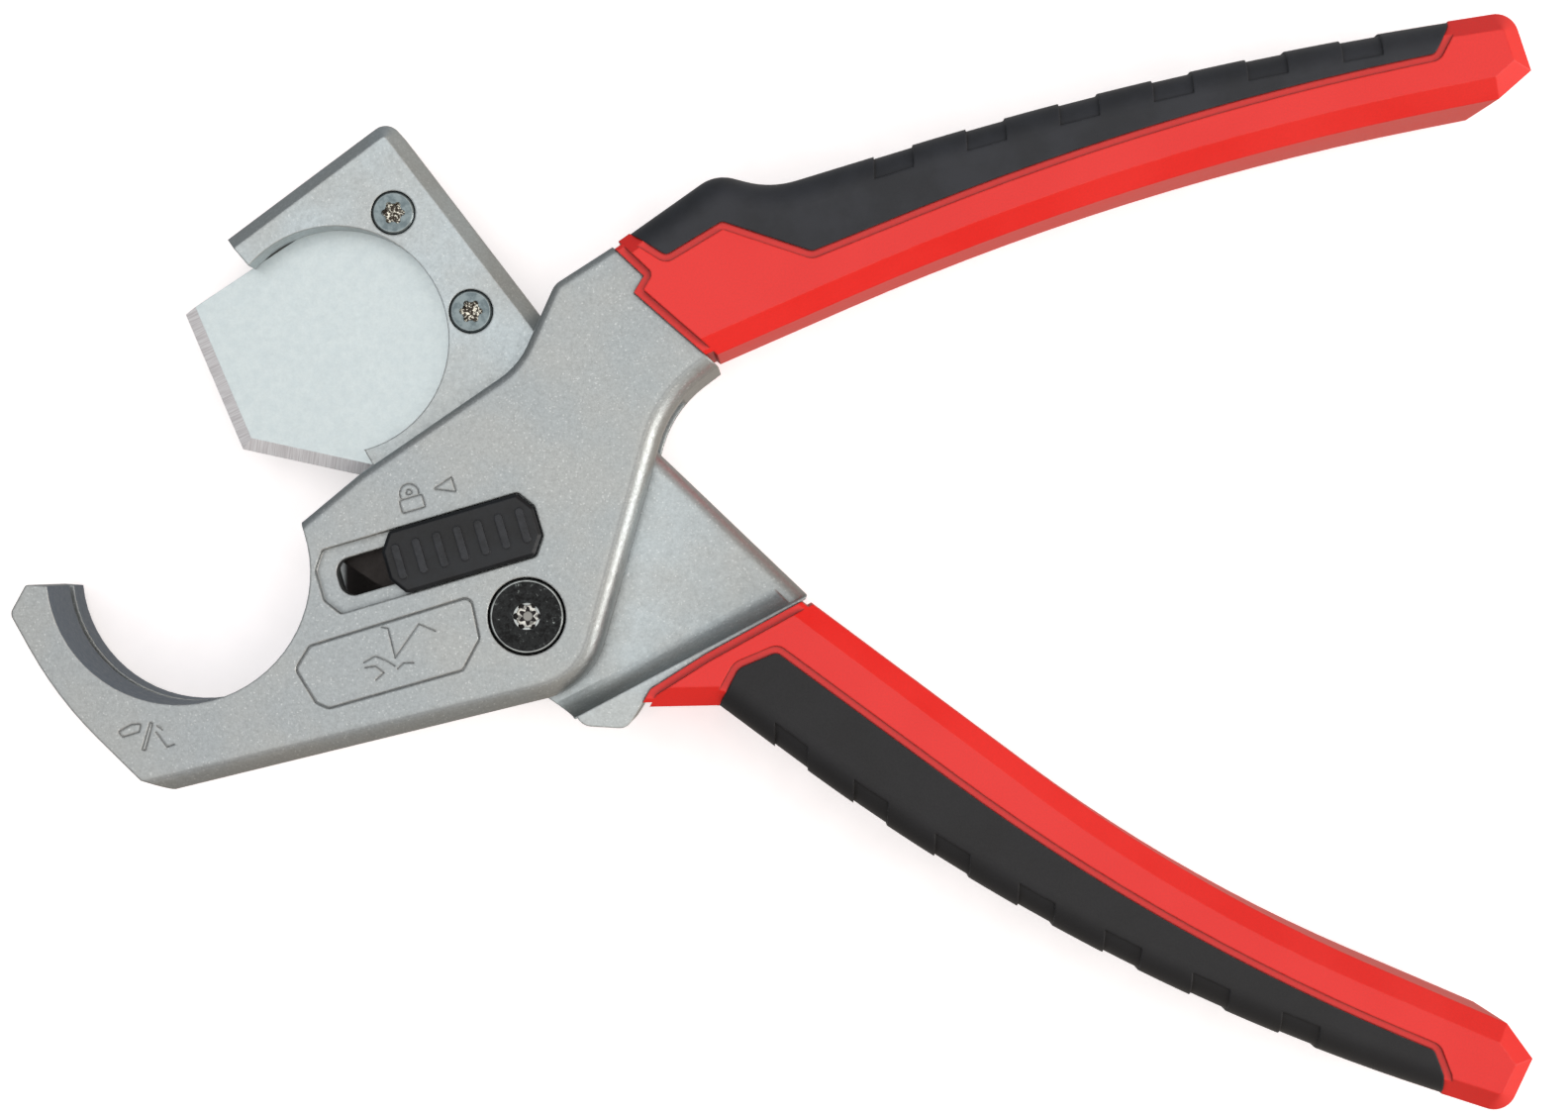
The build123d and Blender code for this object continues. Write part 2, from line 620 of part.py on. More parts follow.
def arm_casting():
    body = prism(arm_plate_outline(), ARM_BACK, ARM_FRONT)
    body += disc(0, 0, HUB_RADIUS, ARM_BACK, ARM_FRONT)
    body -= disc(CUTOUT_X, CUTOUT_Y, CUTOUT_RADIUS, 0, CLEAR_TOP)
    head_edges = [(-34.8, 67.1), (-10.8, 60.6)]
    body = chamfer(edges_near(body, ARM_FRONT, head_edges, 6), length=HEAD_BEVEL)
    body -= edge_round(ARM_RIGHT_EDGE[2], ARM_RIGHT_EDGE[4], ARM_FRONT, STUB_ROUND)
    body += prism(rim_outline(), FRAME_BACK, FRAME_FRONT)
    body += rim_ramp() & prism(arm_plate_outline() + rim_outline(), 0, CLEAR_TOP) - edge_strip()
    body += prism(lower_tang_outline(), TANG_BACK, TANG_FRONT)
    body -= prism(sharp(BLADE_OUTLINE), BLADE_BACK, BLADE_FRONT)
    body -= pin_track()
    for x, y in BLADE_SCREWS:
        body -= disc(x, y, SCREW_HEAD_RADIUS + 0.15, SCREW_HEAD_BACK, CLEAR_TOP)
        body -= disc(x, y, SCREW_SHANK_RADIUS, SCREW_SHANK_BACK - 0.2, CLEAR_TOP)
    body -= disc(0, 0, BUSH_RADIUS, 0, CLEAR_TOP)
    body -= disc(0, 0, SPRING_POCKET_RADIUS, SPRING_POCKET_BACK, FRONT_WASHER_BACK)
    body -= disc(0, 0, WASHER_RADIUS + 0.15, FRONT_WASHER_BACK - 0.1, CLEAR_TOP)
    body -= disc(0, 0, WASHER_RADIUS - 0.35, 0, REAR_WASHER_FRONT + 0.05)
    body -= disc(*spring_tail(SPRING_START_ANGLE), SPRING_WIRE / 2 + 0.05, 7.5, 12)
    return body


def grind_cutters(start, end):
    """Two wedges that grind both faces of the blade along the plan line start-end."""
    dx, dy = end[0] - start[0], end[1] - start[1]
    length = hypot(dx, dy)
    along = Vector(dx / length, dy / length, 0)
    outward = Vector(dy / length, -dx / length, 0)
    depth = GRIND_HEIGHT * (GRIND_WIDTH + 1) / GRIND_WIDTH
    front = [(-GRIND_WIDTH, BLADE_FRONT), (1, BLADE_FRONT), (1, BLADE_FRONT - depth)]
    back = [(-GRIND_WIDTH, BLADE_BACK), (1, BLADE_BACK), (1, BLADE_BACK + depth)]
    corner = Vector(start[0], start[1], 0) - 6 * along
    plane = Plane(origin=corner, x_dir=outward, z_dir=outward.cross(Vector(0, 0, 1)))
    wedges = []
    for section in (front, back):
        face = plane * make_face(Polyline(*section, close=True))
        wedges.append(extrude(face, amount=length + 12, dir=along))
    return wedges


def blade():
    sheet = prism(sharp(BLADE_OUTLINE), BLADE_BACK, BLADE_FRONT)
    for start, end in ((BLADE_CORNER, BLADE_TIP), (BLADE_TIP, BLADE_HEEL)):
        for wedge in grind_cutters(start, end):
            sheet -= wedge
    for x, y in BLADE_SCREWS:
        sheet -= disc(x, y, SCREW_SHANK_RADIUS + 0.1, 0, CLEAR_TOP)
    return sheet


def blade_screws():
    head = screw_head(SCREW_HEAD_RADIUS, SCREW_HEAD_BACK, SCREW_HEAD_FRONT, 0.3)
    shank = disc(0, 0, SCREW_SHANK_RADIUS, SCREW_SHANK_BACK, SCREW_HEAD_BACK + 0.1)
    screw = head + shank - star_socket(1.8, SCREW_HEAD_FRONT - 1.2, SCREW_HEAD_FRONT + 1)
    return [Pos(x, y) * screw for x, y in BLADE_SCREWS]


# ---------------------------------------------------------------- lock slide
def lock_button():
    """Ribbed thumb button on a stem that runs in the slot."""
    outline = faceted_bar(BUTTON_LEFT, BUTTON_RIGHT, BUTTON_HALF, 0.8)
    top = prism(outline, RECESS_FLOOR + 0.1, BUTTON_FRONT)
    rims = [(BUTTON_LEFT, 0), (BUTTON_RIGHT, 0), (-6.0, BUTTON_HALF), (-6.0, -BUTTON_HALF)]
    top = chamfer(edges_near(top, BUTTON_FRONT, rims, 2), length=0.5)
    middle = (BUTTON_LEFT + BUTTON_RIGHT) / 2
    for i in range(RIB_COUNT):
        t = middle + (i - (RIB_COUNT - 1) / 2) * RIB_PITCH
        top += prism(bar(t - 0.6, t + 0.6, 2.7, 0.55), BUTTON_FRONT - 0.1, BUTTON_FRONT + RIB_HEIGHT)
    stem_outline = bar(-15.9, LOCK_SLOT_RIGHT - 0.2, LOCK_SLOT_HALF - 0.1, 2.2)
    button = top + prism(stem_outline, PLATE_FRONT, RECESS_FLOOR + 0.2)
    for t in RIVET_TS:
        button -= disc(t, 0, RIVET_RADIUS, PLATE_FRONT - 1, RIVET_FRONT)
    return in_lock_frame(button)


def lock_plate():
    plate = prism(bar(RIVET_TS[0] - 3.0, 4.6, PLATE_HALF, 1.0), PLATE_BACK, PLATE_FRONT)
    for notch in (LOCK_PIN_T - 1.0, LOCK_PIN_T - 1.0 + LOCK_TRAVEL):
        plate -= disc(notch, PLATE_HALF + 0.35, 1.1, 0, CLEAR_TOP)
    plate -= disc(LOCK_PIN_T, 0, LOCK_PIN_RADIUS, 0, CLEAR_TOP)
    for t in RIVET_TS:
        plate -= disc(t, 0, RIVET_RADIUS, 0, CLEAR_TOP)
        plate -= disc(t, 0, RIVET_HEAD_RADIUS, 0, PLATE_BACK + RIVET_HEAD_HEIGHT)
    return in_lock_frame(plate)


def lock_pin():
    pin = disc(LOCK_PIN_T, 0, LOCK_PIN_RADIUS, LOCK_PIN_BACK, PLATE_FRONT)
    return in_lock_frame(pin)


def lock_rivets():
    rivets = []
    for t in RIVET_TS:
        rivet = disc(t, 0, RIVET_RADIUS, PLATE_BACK, RIVET_FRONT)
        rivet += disc(t, 0, RIVET_HEAD_RADIUS, PLATE_BACK, PLATE_BACK + RIVET_HEAD_HEIGHT)
        rivets.append(in_lock_frame(rivet))
    return rivets


def detent_spring():
    """Bowed spring strip whose hump sits in a notch of the lock plate."""
    t = LOCK_PIN_T - 1.0
    top = PLATE_HALF + 2.1
    points = [(t - 4.2, top), (t - 1.4, top - 0.5), (t, top - 2.1), (t + 1.4, top - 0.5), (t + 4.2, top)]
    line = FilletPolyline(*points, radius=[1.5, 0.9, 1.5])
    strip = make_face(offset(line, amount=0.18))
    return in_lock_frame(prism(strip, PLATE_BACK + 0.1, PLATE_FRONT))


# ---------------------------------------------------------------- grips
# Each grip in plan, as (x, y, corner radius) points: the outer edge that the fingers wrap, run on
# past the joint with the casting, the blunt end, the inner edge that faces the other handle,
# the pad's edge on the shell, and the metal side of the joint.
UPPER_GRIP = {
    "outer": [(5.7, 51.1, 0), (28.6, 67.3, 6), (37.0, 65.1, 14), (97.4, 83.6, 600), (149.4, 91.8, 3.5)],
    "rest": [(152.4, 82.8, 0), (147.5, 78.5, 0), (93.3, 67.8, 440), (17.5, 34.7, 0)],
    "pad": [
        (8.0, 63.1, 0), (15.6, 58.0, 0), (21.2, 54.5, 1), (29.6, 59.6, 1), (43.2, 55.1, 1),
        (95.4, 76.1, 440), (137.0, 84.8, 1), (139.4, 89.4, 0), (143.0, 99.0, 0), (30.0, 99.0, 0),
    ],
    "metal": [*UPPER_JOINT, (37.0, 31.1), (0.0, 0.0), (-40.0, 60.0), (3.0, 65.3)],
    "first_window": 55.6,
    "window_pitch": 14.55,
    "windows": 6,
}

LOWER_GRIP = {
    "outer": [(4.8, -14.0, 0), (29.1, -13.5, 1), (85.1, -55.0, 340), (148.6, -75.6, 3.5)],
    "rest": [(152.6, -67.1, 0), (148.7, -61.7, 0), (101.5, -41.5, 250), (29.8, 11.9, 0)],
    "pad": [
        (24.0, -21.0, 0), (29.3, -13.3, 1), (32.2, -7.8, 2), (37.9, -5.4, 1), (95.8, -48.0, 330),
        (136.9, -65.3, 1), (138.4, -69.2, 0), (140.0, -84.0, 0), (24.0, -84.0, 0),
    ],
    "metal": [*LOWER_JOINT, (13.2, -20.6), (0.0, -40.0), (-10.0, 20.0), (52.0, 8.0)],
    "first_window": 38.0,
    "window_pitch": 14.7,
    "windows": 7,
}


def grip_outline(grip):
    """Whole grip in plan, run on past the joint so that its bevels end cleanly there."""
    return face_of(grip["outer"] + grip["rest"])


def grip_envelope(grip, inset, bevel, rounded):
    """The grip's outer shape, drawn in by inset, with its front and back edges bevelled."""
    outline = grip_outline(grip)
    if inset:
        outline = offset(outline, amount=-inset)
    body = prism(outline, GRIP_BACK + inset, GRIP_FRONT - inset)
    rims = []
    for level in (GRIP_FRONT - inset, GRIP_BACK + inset):
        rims += edges_near(body, level, [(80, 10)], 200)
    return fillet(rims, bevel) if rounded else chamfer(rims, length=bevel)


def pad_face(grip):
    """Plan region outside the pad's edge on the shell."""
    return face_of(grip["pad"])


def both_sides(face, depth):
    """Shallow layers of a plan region at the grip's front and back."""
    return prism(face, GRIP_FRONT - depth, GRIP_FRONT + 1) + prism(face, GRIP_BACK - 1, GRIP_BACK + depth)


def pad_core(grip):
    """Hard core that carries the pad."""
    region = offset(grip_outline(grip), amount=-PAD_THICKNESS) & pad_face(grip)
    return prism(region, GRIP_BACK + PAD_THICKNESS, GRIP_FRONT - PAD_THICKNESS)


def grip_shell(grip, tang):
    body = grip_envelope(grip, 0, GRIP_BEVEL, False)
    body -= prism(pad_face(grip), -1, 30)
    body += pad_core(grip)
    metal = sharp(grip["metal"])
    strip = prism(offset(metal, amount=STEP_WIDTH), -1, 30)
    strip -= prism(offset(grip_outline(grip), amount=-0.7), JOINT_STEP, GRIP_FRONT - JOINT_STEP)
    body -= strip
    body -= prism(metal, -1, 30)
    body -= both_sides(offset(pad_face(grip), amount=STEP_WIDTH), STEP_DEPTH)
    return body - prism(tang, TANG_BACK, TANG_FRONT)


def window_blocks(grip):
    """Slanted blocks over the low steps between the pad's raised parts; their ends lie along Y."""
    corners = grip["outer"]
    path = FilletPolyline(*[(x, y) for x, y, _ in corners], radius=[r for _, _, r in corners[1:-1]])
    blocks = []
    for i in range(grip["windows"]):
        u = (grip["first_window"] + i * grip["window_pitch"]) / path.length
        middle, half = path @ u, (path % u) * (WINDOW_LENGTH / 2)
        left = (middle.X - half.X, middle.Y - half.Y)
        right = (middle.X + half.X, middle.Y + half.Y)
        corners = [
            (left[0], left[1] - WINDOW_REACH),
            (right[0], right[1] - WINDOW_REACH),
            (right[0], right[1] + WINDOW_REACH),
            (left[0], left[1] + WINDOW_REACH),
        ]
        blocks.append(prism(sharp(corners), GRIP_BACK - 1, GRIP_FRONT + 1))
    return blocks


def grip_pad(grip):
    body = grip_envelope(grip, 0, PAD_ROUND, True)
    low = grip_envelope(grip, WINDOW_DEPTH, PAD_ROUND, True)
    for block in window_blocks(grip):
        body -= block - low
    body &= prism(pad_face(grip), -1, 30)
    body -= pad_core(grip)
    return body - prism(sharp(grip["metal"]), -1, 30)


def upper_grip_shell():
    return grip_shell(UPPER_GRIP, upper_tang_outline())


def upper_grip_pad():
    return grip_pad(UPPER_GRIP)


def lower_grip_shell():
    return grip_shell(LOWER_GRIP, lower_tang_outline())


def lower_grip_pad():
    return grip_pad(LOWER_GRIP)


PIECES = {
    "frame_casting": frame_casting,
    "arm_casting": arm_casting,
    "blade": blade,
    "blade_screws": blade_screws,
    "pivot_screw": pivot_screw,
    "pivot_sleeve_nut": pivot_sleeve_nut,
    "arm_bush": arm_bush,
    "front_washer": front_washer,
    "rear_washer": rear_washer,
    "wave_washer": wave_washer,
    "return_spring": return_spring,
    "lock_button": lock_button,
    "lock_plate": lock_plate,
    "lock_pin": lock_pin,
    "lock_rivets": lock_rivets,
    "detent_spring": detent_spring,
    "upper_grip_shell": upper_grip_shell,
    "upper_grip_pad": upper_grip_pad,
    "lower_grip_shell": lower_grip_shell,
    "lower_grip_pad": lower_grip_pad,
}

if __name__ == "__main__":
    os.makedirs("parts", exist_ok=True)
    home = Pos(PIVOT_X, PIVOT_Y)
    for name, make in PIECES.items():
        made = make()
        group = made if isinstance(made, list) else [made]
        solids = [home * solid for piece in group for solid in piece.solids()]
        shape = Compound(children=solids) if len(solids) > 1 else solids[0]
        export_step(shape, f"parts/{name}.step")
        print(name, len(solids))
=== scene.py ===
import json
from math import radians

import bpy
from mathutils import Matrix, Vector


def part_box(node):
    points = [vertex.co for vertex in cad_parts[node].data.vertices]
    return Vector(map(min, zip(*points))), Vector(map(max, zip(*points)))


# The lengths are in metres, in the same frame as the CAD part.
MM = 0.001
FRAME_FRONT = 21.5 * MM
SEAT_RADIUS = 20.0 * MM
BLADE_SCREW_RADIUS = 3.28 * MM
BLADE_SOCKET_RADIUS = 1.5 * MM
PIVOT_SOCKET_RADIUS = 1.95 * MM
GRIND_LINE_ANGLES = (23, 78)  # degrees, across the left and the lower cutting edge

# ---- camera ----
VIEW_SPAN = 237.6 * MM
VIEW_DISTANCE = 365.0 * MM
VIEW_CENTRE_FROM_PIVOT = Vector((39.0 * MM, 8.7 * MM, 0.0))
SENSOR_WIDTH = 36.0

# ---- stage and light ----
FLOOR_SIZE = 16.0
FLOOR_GLOW = 0.50
BACKDROP_RADIUS = 7.5
BRIGHT_SIDE = (1.0, -0.05, 0.1)
COOL_SIDE = (-0.8, 0.6, 0.0)
DIM_WORLD, BRIGHT_WORLD = 0.31, 0.62
WARM_TINT = (1.0, 0.88, 0.77, 1.0)
COOL_TINT = (0.94, 0.97, 1.0, 1.0)
OVERHEAD_POWER = 5.3
KEY_POWER = 14.0
KEY_COLOUR = (1.0, 0.975, 0.94)


def linear(red, green, blue):
    """Linear colour of an sRGB colour given from 0 to 255."""
    parts = []
    for value in (red, green, blue):
        share = value / 255.0
        parts.append(share / 12.92 if share <= 0.04045 else ((share + 0.055) / 1.055) ** 2.4)
    return (*parts, 1.0)


class Graph:
    """Short calls that build one node material."""

    def __init__(self, name):
        self.material = bpy.data.materials.new(name)
        self.material.use_nodes = True
        self.tree = self.material.node_tree
        self.tree.nodes.clear()
        self.output = self.add("ShaderNodeOutputMaterial")
        self.shader = self.add("ShaderNodeBsdfPrincipled")
        self.link(self.shader.outputs["BSDF"], self.output.inputs["Surface"])
        self.where = self.add("ShaderNodeTexCoord").outputs["Object"]
        self.geometry = self.add("ShaderNodeNewGeometry")

    def add(self, kind, **settings):
        node = self.tree.nodes.new(kind)
        for key, value in settings.items():
            setattr(node, key, value)
        return node

    def link(self, source, target):
        self.tree.links.new(source, target)

    def feed(self, target, value):
        """Links a socket, or writes a plain value on it."""
        if isinstance(value, bpy.types.NodeSocket):
            self.link(value, target)
        else:
            target.default_value = value

    def set(self, **values):
        for key, value in values.items():
            self.feed(self.shader.inputs[key.replace("_", " ")], value)

    def math(self, operation, first, second=0.0, clamp=False):
        node = self.add("ShaderNodeMath", operation=operation, use_clamp=clamp)
        self.feed(node.inputs[0], first)
        self.feed(node.inputs[1], second)
        return node.outputs[0]

    def vector(self, operation, first, second=None):
        node = self.add("ShaderNodeVectorMath", operation=operation)
        self.feed(node.inputs[0], first)
        if second is not None:
            self.feed(node.inputs[1], second)
        one_number = operation in ("DOT_PRODUCT", "LENGTH", "DISTANCE")
        return node.outputs["Value" if one_number else "Vector"]

    def span(self, value, low, high, start=0.0, end=1.0, smooth=True):
        """Maps low..high onto start..end and holds the ends."""
        kind = "SMOOTHSTEP" if smooth else "LINEAR"
        node = self.add("ShaderNodeMapRange", interpolation_type=kind, clamp=True)
        self.feed(node.inputs["Value"], value)
        self.feed(node.inputs["From Min"], low)
        self.feed(node.inputs["From Max"], high)
        self.feed(node.inputs["To Min"], start)
        self.feed(node.inputs["To Max"], end)
        return node.outputs["Result"]

    def mix(self, share, first, second, blend="MIX"):
        node = self.add("ShaderNodeMix", data_type="RGBA", blend_type=blend)
        self.feed(node.inputs[0], share)
        self.feed(node.inputs[6], first)
        self.feed(node.inputs[7], second)
        return node.outputs[2]

    def noise(self, size, detail=2.0, roughness=0.5, where=None, distortion=0.0):
        """Noise whose features are about size metres across."""
        node = self.add("ShaderNodeTexNoise")
        self.feed(node.inputs["Vector"], where or self.where)
        node.inputs["Scale"].default_value = 1.0 / size
        node.inputs["Detail"].default_value = detail
        node.inputs["Roughness"].default_value = roughness
        node.inputs["Distortion"].default_value = distortion
        return node.outputs[0]

    def cells(self, size, randomness=1.0, where=None, output="Color"):
        node = self.add("ShaderNodeTexVoronoi")
        self.feed(node.inputs["Vector"], where or self.where)
        node.inputs["Scale"].default_value = 1.0 / size
        node.inputs["Randomness"].default_value = randomness
        return node.outputs[output]

    def stretched(self, angle, along, across):
        """Object coordinates turned about Z and squeezed, for lines that run along angle."""
        turn = self.add("ShaderNodeMapping", vector_type="POINT")
        self.feed(turn.inputs["Vector"], self.where)
        turn.inputs["Rotation"].default_value = (0.0, 0.0, -radians(angle))
        squeeze = self.add("ShaderNodeMapping", vector_type="POINT")
        self.link(turn.outputs["Vector"], squeeze.inputs["Vector"])
        squeeze.inputs["Scale"].default_value = (along, across, along)
        return squeeze.outputs["Vector"]

    def parts(self, vector=None):
        node = self.add("ShaderNodeSeparateXYZ")
        self.feed(node.inputs[0], vector or self.where)
        return node.outputs

    def radius_from(self, centre):
        """Distance in plan from an upright axis through centre."""
        offset = self.vector("SUBTRACT", self.where, (centre.x, centre.y, 0.0))
        flat = self.vector("MULTIPLY", offset, (1.0, 1.0, 0.0))
        return self.vector("LENGTH", flat)

    def ring(self, away, inner, outer, blur):
        """One between the inner and outer radius, fading over blur."""
        inside = self.span(away, inner - blur, inner)
        outside = self.span(away, outer + blur, outer)
        return self.math("MULTIPLY", inside, outside)

    def within(self, low, high, blur):
        """One inside the box low..high, fading inwards over blur."""
        inside = None
        for axis, value in enumerate(self.parts()):
            above = self.span(value, low[axis], low[axis] + blur)
            below = self.span(value, high[axis], high[axis] - blur)
            both = self.math("MULTIPLY", above, below)
            inside = both if inside is None else self.math("MULTIPLY", inside, both)
        return inside

    def lobes(self, centre, count, swing):
        """Distance in plan from centre, pulled in and out count times round the turn."""
        offset = self.vector("SUBTRACT", self.where, (centre.x, centre.y, 0.0))
        x, y, _ = self.parts(offset)
        turn = self.math("MULTIPLY", self.math("ARCTAN2", y, x), float(count))
        wave = self.math("MULTIPLY", self.math("COSINE", turn), swing)
        return self.math("ADD", self.radius_from(centre), wave)

    def soft_edge(self, radius, samples=6):
        """Normal with its sharp edges rounded to radius."""
        node = self.add("ShaderNodeBevel", samples=samples)
        node.inputs["Radius"].default_value = radius
        return node.outputs["Normal"]

    def crease_shaded(self, base, reach, dark, full=0.45):
        """Base colour with painted shade, darker where another surface is nearer than reach."""
        node = self.add("ShaderNodeAmbientOcclusion", samples=4)
        node.inputs["Distance"].default_value = reach
        shade = self.span(node.outputs["AO"], full, 0.97, dark, 1.0)
        return self.mix(1.0, base, shade, "MULTIPLY")

    def edge_mask(self, rounded, full=0.82):
        """One on an edge and nought away from it, from the rounded normal."""
        alike = self.vector("DOT_PRODUCT", rounded, self.geometry.outputs["Normal"])
        return self.span(alike, 0.995, full)

    def bump(self, height, depth, strength=1.0, normal=None):
        node = self.add("ShaderNodeBump")
        node.inputs["Strength"].default_value = strength
        node.inputs["Distance"].default_value = depth
        self.link(height, node.inputs["Height"])
        if normal is not None:
            self.link(normal, node.inputs["Normal"])
        return node.outputs["Normal"]


# ---- painted castings ----
def painted_casting(name, colour_parts, pivot_shade_box, groove_level=None, seat=None):
    """Silver paint with metal flakes, worn a little at the edges.

    It is dark inside the given box, as painted shade in the slot and between the castings, and dark blue on the
    round wall about seat, as painted shade on the seat's wall.
    """
    g = Graph(name)
    place = g.parts()
    low_x, high_x, low_colour, high_colour = colour_parts
    base = g.mix(g.span(place[0], low_x, high_x), low_colour, high_colour)

    clouds = g.noise(16 * MM, 3.0, 0.55)
    base = g.mix(g.span(clouds, 0.35, 0.65, 0.0, 0.55), base, linear(166, 168, 166))
    grain = g.noise(0.42 * MM, 2.0, 0.7)
    shade = g.span(grain, 0.32, 0.68, 0.91, 1.08, False)
    base = g.mix(1.0, base, shade, "MULTIPLY")
    flakes = g.parts(g.cells(0.22 * MM))[0]
    glint = g.span(flakes, 0.93, 1.0, 0.0, 0.26)
    base = g.mix(glint, base, linear(232, 236, 236))

    rounded = g.soft_edge(0.45 * MM)
    edge = g.edge_mask(rounded, 0.8)
    patches = g.span(g.noise(2.2 * MM, 4.0, 0.65), 0.42, 0.60)
    wear = g.math("MULTIPLY", edge, g.math("MULTIPLY", patches, 0.55))
    base = g.mix(wear, base, linear(206, 204, 198))

    # painted shade on the floors of the engraved grooves
    if groove_level is not None:
        facing = g.parts(g.geometry.outputs["True Normal"])[2]
        under = g.span(place[2], groove_level - 0.03 * MM, groove_level - 0.10 * MM)
        above = g.span(place[2], groove_level - 0.65 * MM, groove_level - 0.55 * MM)
        flat = g.span(facing, 0.90, 0.98)
        groove_floor_shade = g.math("MULTIPLY", g.math("MULTIPLY", under, above), flat)
        base = g.mix(g.math("MULTIPLY", groove_floor_shade, 0.26), base, linear(96, 96, 100))

    # painted shade: the seat's round wall dark blue
    if seat is not None:
        upright = g.math("ABSOLUTE", g.parts(g.geometry.outputs["True Normal"])[2])
        seat_wall_shade = g.span(upright, 0.6, 0.3)
        near = g.span(g.radius_from(seat), SEAT_RADIUS + 0.6 * MM, SEAT_RADIUS + 0.2 * MM)
        base = g.mix(g.math("MULTIPLY", seat_wall_shade, near), base, linear(100, 116, 134))

    # painted shade: dark inside the box round the pivot, in the slot and between the castings
    base = g.mix(g.within(*pivot_shade_box, 1 * MM), base, linear(40, 37, 36))
    # painted shade in creases and where parts meet
    base = g.crease_shaded(base, 0.9 * MM, 0.68)

    rough = g.span(g.noise(0.9 * MM, 3.0, 0.6), 0.3, 0.7, 0.33, 0.46, False)
    rough = g.math("SUBTRACT", rough, g.math("MULTIPLY", wear, 0.12))
    skin = g.bump(g.noise(0.55 * MM, 3.0, 0.6), 0.035 * MM, 0.55, rounded)
    skin = g.bump(flakes, 0.012 * MM, 0.6, skin)
    g.set(Base_Color=base, Metallic=0.82, Roughness=rough, Normal=skin)
    return g.material


# ---- blade ----
def blade_steel(line_angles):
    """Ground blade steel with a pale mottled face and lined cutting edges."""
    g = Graph("blade_steel")
    normal = g.parts(g.geometry.outputs["True Normal"])
    tilt = g.math("ABSOLUTE", normal[2])
    ground = g.span(tilt, 0.9995, 0.985)
    lower = g.span(normal[1], -0.20, -0.30)

    mottle = g.noise(1.3 * MM, 5.0, 0.65)
    base = g.mix(g.span(mottle, 0.3, 0.7), linear(187, 198, 201), linear(194, 204, 206))
    grain = g.noise(0.35 * MM, 2.0, 0.7)
    base = g.mix(1.0, base, g.span(grain, 0.3, 0.7, 0.96, 1.03, False), "MULTIPLY")

    left_lines, lower_lines = [
        g.noise(0.21 * MM, 2.0, 0.6, g.stretched(angle, 0.04, 1.0)) for angle in line_angles
    ]
    lines = g.mix(lower, left_lines, lower_lines)
    streaks = g.mix(g.span(lines, 0.35, 0.65), linear(206, 205, 209), linear(230, 231, 235))
    base = g.mix(ground, base, streaks)

    rounded = g.soft_edge(0.12 * MM, 4)
    brushed = g.noise(0.12 * MM, 3.0, 0.6, g.stretched(28, 0.05, 1.0))
    rough = g.span(brushed, 0.3, 0.7, 0.30, 0.44, False)
    skin = g.bump(brushed, 0.006 * MM, 0.7, rounded)
    g.set(Base_Color=base, Roughness=rough, Normal=skin)
    g.set(Metallic=g.span(ground, 0.0, 1.0, 0.85, 0.15))
    return g.material


# ---- plated and blackened steel ----
def dark_steel(centre, head_radius, socket_radius, head_front):
    """Blackened steel with pale specks, painted highlights as a bright rim round the head, on its edges and round
    the socket, and painted glints in the socket.
    """
    g = Graph("dark_steel")
    specks = g.noise(0.62 * MM, 4.0, 0.72, None, 0.6)
    patches = g.noise(2.6 * MM, 3.0, 0.6)
    mottled = g.math("ADD", g.math("MULTIPLY", specks, 0.72), g.math("MULTIPLY", patches, 0.28))
    base = g.mix(g.span(mottled, 0.40, 0.52), linear(9, 10, 11), linear(30, 32, 33))
    base = g.mix(g.span(specks, 0.60, 0.74, 0.0, 0.8), base, linear(140, 148, 146))

    rounded = g.soft_edge(0.22 * MM)
    edge = g.edge_mask(rounded)
    away = g.radius_from(centre)
    # painted highlights: a bright ring on the head's rim, on the socket's mouth and on the edges
    rim_highlight = g.ring(away, head_radius - 0.44 * MM, head_radius - 0.26 * MM, 0.08 * MM)
    socket = g.ring(away, socket_radius - 0.30 * MM, socket_radius + 0.02 * MM, 0.10 * MM)
    bright = g.math("MAXIMUM", g.math("MULTIPLY", edge, 0.25), g.math("MAXIMUM", rim_highlight, socket))
    bright = g.math("MULTIPLY", bright, g.span(patches, 0.3, 0.6, 0.45, 1.0))
    base = g.mix(bright, base, linear(176, 182, 182))
    # painted glints on the socket's flanks and a painted paler centre on the socket's floor
    depth = g.span(g.parts()[2], head_front - 0.2 * MM, head_front - 0.6 * MM)
    inside = g.span(away, socket_radius + 0.3 * MM, socket_radius + 0.1 * MM)
    star = g.lobes(centre, 6, 0.16 * socket_radius)
    flanks = g.ring(star, 0.62 * socket_radius, 0.86 * socket_radius, 0.14 * MM)
    glitter = g.span(g.noise(0.8 * MM, 2.0, 0.6), 0.36, 0.56, 0.25, 1.0)
    glints = g.math("MULTIPLY", flanks, glitter)
    heart = g.math("MULTIPLY", g.span(away, 0.42 * socket_radius, 0.30 * socket_radius), 0.35)
    pit = g.mix(g.math("MAXIMUM", glints, heart), linear(30, 28, 28), linear(216, 216, 210))
    base = g.mix(g.math("MULTIPLY", depth, inside), base, pit)

    rough = g.span(specks, 0.3, 0.7, 0.46, 0.28, False)
    skin = g.bump(specks, 0.02 * MM, 0.5, rounded)
    g.set(Base_Color=base, Metallic=0.75, Roughness=rough, Normal=skin)
    return g.material


